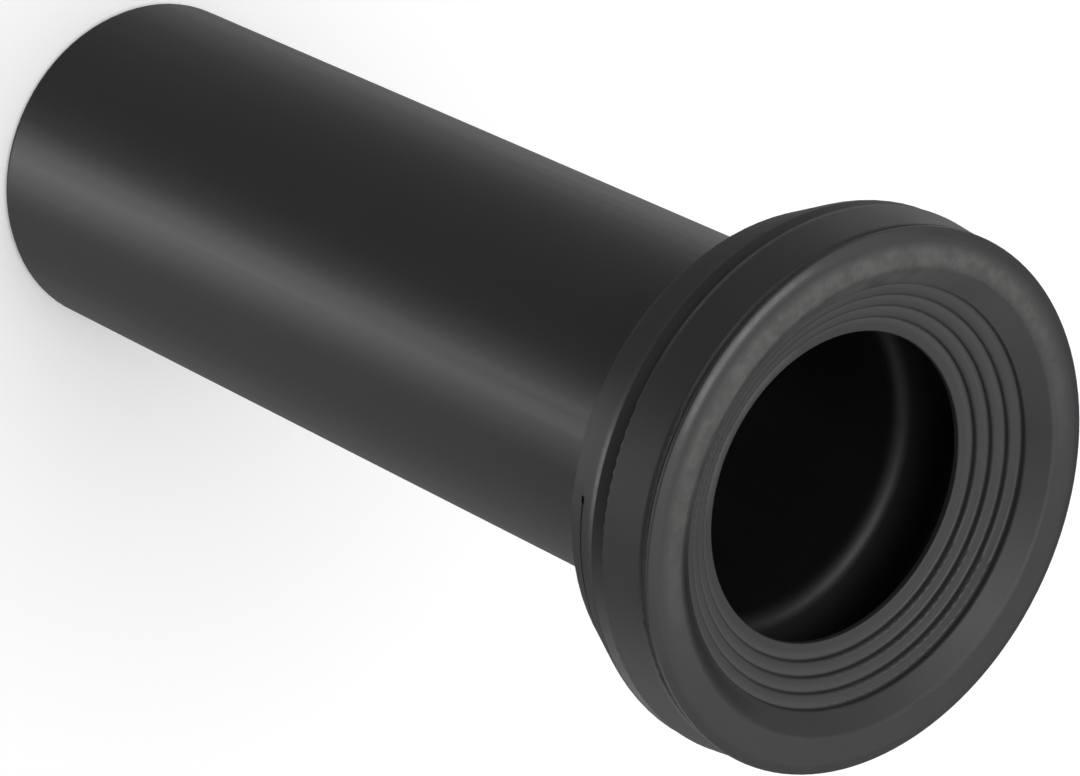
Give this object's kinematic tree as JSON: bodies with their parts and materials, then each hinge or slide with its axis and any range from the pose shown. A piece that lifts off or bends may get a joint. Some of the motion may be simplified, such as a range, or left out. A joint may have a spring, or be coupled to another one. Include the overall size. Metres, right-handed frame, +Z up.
{
  "type": "toilet pan connector",
  "caption": "Straight pipe connector with a cup-shaped socket and a stepped rubber lip seal, for a wall-hung toilet pan.",
  "frame": {"origin": "centre of the spigot's end face, on which the connector stands", "axes": "+Z up the pipe's axis, from the spigot end to the seal's open front"},
  "size_m": [0.139, 0.139, 0.3016],
  "materials": {
    "pipe_plastic": "black moulded polyethylene, satin",
    "seal_rubber": "black moulded rubber, dull, with a pale bloom"
  },
  "bodies": {
    "root": {"connector_pipe": "pipe_plastic", "lip_seal": "seal_rubber"}
  },
  "joints": []
}
